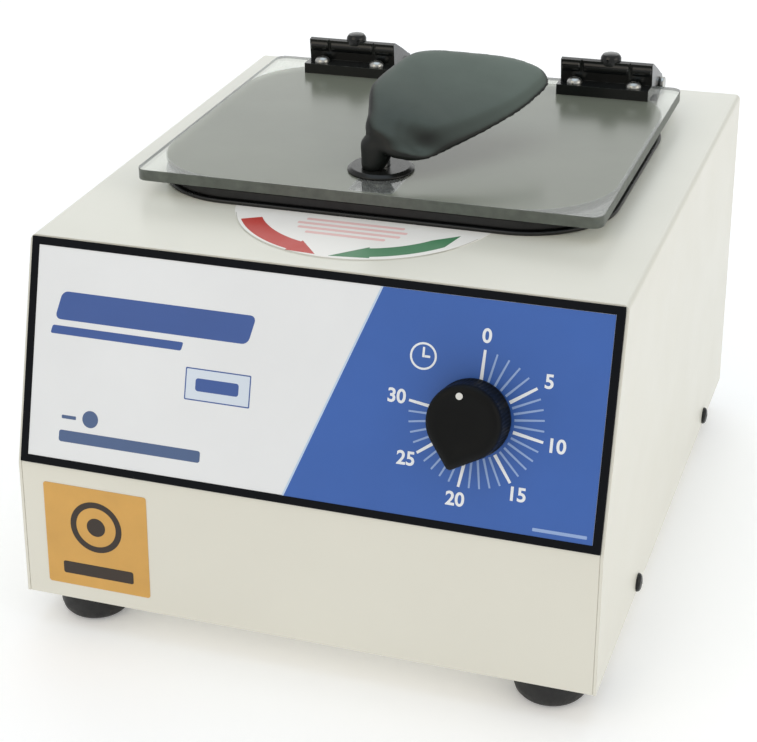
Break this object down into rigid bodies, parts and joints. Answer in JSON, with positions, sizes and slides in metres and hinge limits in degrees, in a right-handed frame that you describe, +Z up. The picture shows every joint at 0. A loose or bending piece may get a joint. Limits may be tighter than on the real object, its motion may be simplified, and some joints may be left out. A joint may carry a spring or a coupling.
{
  "type": "benchtop centrifuge",
  "caption": "Compact benchtop laboratory centrifuge with a swing-out rotor, clear hinged lid with a turning latch, sloped panel and clockwork timer.",
  "frame": {"origin": "on the surface the feet stand on, below the middle of the bounding box", "axes": "+Z up, the front faces -Y, +X to the right seen from the front"},
  "size_m": [0.31, 0.3658, 0.2664],
  "materials": {
    "cabinet_paint": "satin, light orange peel",
    "border_black": "satin",
    "panel_print": "fine matt film",
    "label_white": "satin film",
    "label_amber": "satin film",
    "rubber_black": "matt",
    "steel": "zinc plated",
    "dark_steel": "black oxide",
    "bowl_black": "satin black",
    "dark_plastic": "moulded",
    "white_plastic": "moulded",
    "knob_black": "moulded, slight sheen",
    "handle_black": "satin moulded",
    "hinge_black": "gloss black",
    "motor_metal": "cast",
    "copper": "varnished winding",
    "rotor_black": "black anodised",
    "carrier_black": "moulded",
    "board_green": "solder mask",
    "wire_red": "sleeved",
    "chrome": "polished",
    "clear_acrylic": "clear, polished edges"
  },
  "bodies": {
    "cabinet": {"wrap_cover": "cabinet_paint", "front_fascia": "cabinet_paint", "rear_panel": "cabinet_paint", "base_pan": "cabinet_paint", "panel_bezel": "border_black", "panel_overlay": "panel_print", "deck_label": "label_white", "amber_label": "label_amber", "foot_front_left": "rubber_black", "foot_front_right": "rubber_black", "foot_rear_left": "rubber_black", "foot_rear_right": "rubber_black", "foot_screws": "steel", "side_screws": "dark_steel", "bowl": "bowl_black", "bowl_trim": "bowl_black", "lid_gasket": "rubber_black", "shaft_seal": "rubber_black", "latch_keeper": "steel", "lid_switch": "dark_plastic", "timer_body": "steel", "timer_nut": "steel", "power_inlet": "dark_plastic", "fuse_holder": "dark_plastic", "motor_housing": "motor_metal", "motor_top_bell": "motor_metal", "motor_bottom_bell": "motor_metal", "motor_mount": "steel", "motor_isolators": "rubber_black", "control_board": "board_green", "board_standoffs": "white_plastic", "capacitor": "motor_metal", "wiring": "wire_red", "hinge_base_left": "hinge_black", "hinge_base_right": "hinge_black", "hinge_base_screws": "dark_steel", "hinge_pins": "steel"},
    "lid": {"lid_plate": "clear_acrylic", "hinge_leaf_left": "hinge_black", "hinge_leaf_right": "hinge_black", "hinge_leaf_screws": "steel", "latch_escutcheon": "dark_plastic"},
    "latch": {"latch_handle": "handle_black", "latch_shaft": "chrome", "latch_cam": "chrome", "latch_nut": "steel"},
    "knob": {"timer_knob": "knob_black", "timer_shaft": "steel"},
    "plunger": {"switch_plunger": "white_plastic"},
    "rotor": {"rotor_shaft": "steel", "rotor_spider": "rotor_black", "rotor_nut": "steel", "motor_fan": "dark_plastic", "motor_armature": "copper"},
    "carrier_1": {"carrier_1": "carrier_black"},
    "carrier_2": {"carrier_2": "carrier_black"},
    "carrier_3": {"carrier_3": "carrier_black"},
    "carrier_4": {"carrier_4": "carrier_black"},
    "carrier_5": {"carrier_5": "carrier_black"},
    "carrier_6": {"carrier_6": "carrier_black"}
  },
  "joints": [
    {"name": "lid_hinge", "type": "hinge", "parent": "cabinet", "child": "lid", "pos_m": [0, 0.14236, 0.22], "axis": [-1, 0, 0], "range_deg": [0, 100]},
    {"name": "latch_turn", "type": "hinge", "parent": "lid", "child": "latch", "pos_m": [0, -0.03964, 0.221], "axis": [0, 0, -1], "range_deg": [0, 90]},
    {"name": "timer_turn", "type": "hinge", "parent": "cabinet", "child": "knob", "pos_m": [0.0844, -0.16001, 0.14868], "axis": [0, 0.954, -0.2997], "range_deg": [-193, 85]},
    {"name": "plunger_push", "type": "slide", "parent": "cabinet", "child": "plunger", "axis": [0, -1, 0], "range_m": [0, 0.0018], "stiffness_N_per_m": 150, "springref_m": -0.0005},
    {"name": "rotor_spin", "type": "hinge", "parent": "cabinet", "child": "rotor", "pos_m": [0, 0.02436, 0.175], "axis": [0, 0, 1], "continuous": true},
    {"name": "carrier_swing_1", "type": "hinge", "parent": "rotor", "child": "carrier_1", "pos_m": [0.046, 0.02436, 0.175], "axis": [0, -1, 0], "range_deg": [0, 90]},
    {"name": "carrier_swing_2", "type": "hinge", "parent": "rotor", "child": "carrier_2", "pos_m": [0.023, 0.0642, 0.175], "axis": [0.866, -0.5, 0], "range_deg": [0, 90]},
    {"name": "carrier_swing_3", "type": "hinge", "parent": "rotor", "child": "carrier_3", "pos_m": [-0.023, 0.0642, 0.175], "axis": [0.866, 0.5, 0], "range_deg": [0, 90]},
    {"name": "carrier_swing_4", "type": "hinge", "parent": "rotor", "child": "carrier_4", "pos_m": [-0.046, 0.02436, 0.175], "axis": [0, 1, 0], "range_deg": [0, 90]},
    {"name": "carrier_swing_5", "type": "hinge", "parent": "rotor", "child": "carrier_5", "pos_m": [-0.023, -0.01548, 0.175], "axis": [-0.866, 0.5, 0], "range_deg": [0, 90]},
    {"name": "carrier_swing_6", "type": "hinge", "parent": "rotor", "child": "carrier_6", "pos_m": [0.023, -0.01548, 0.175], "axis": [-0.866, -0.5, 0], "range_deg": [0, 90]}
  ],
  "couplings": [
    {"joint": "carrier_swing_2", "follows": "carrier_swing_1", "ratio": 1},
    {"joint": "carrier_swing_3", "follows": "carrier_swing_1", "ratio": 1},
    {"joint": "carrier_swing_4", "follows": "carrier_swing_1", "ratio": 1},
    {"joint": "carrier_swing_5", "follows": "carrier_swing_1", "ratio": 1},
    {"joint": "carrier_swing_6", "follows": "carrier_swing_1", "ratio": 1}
  ]
}
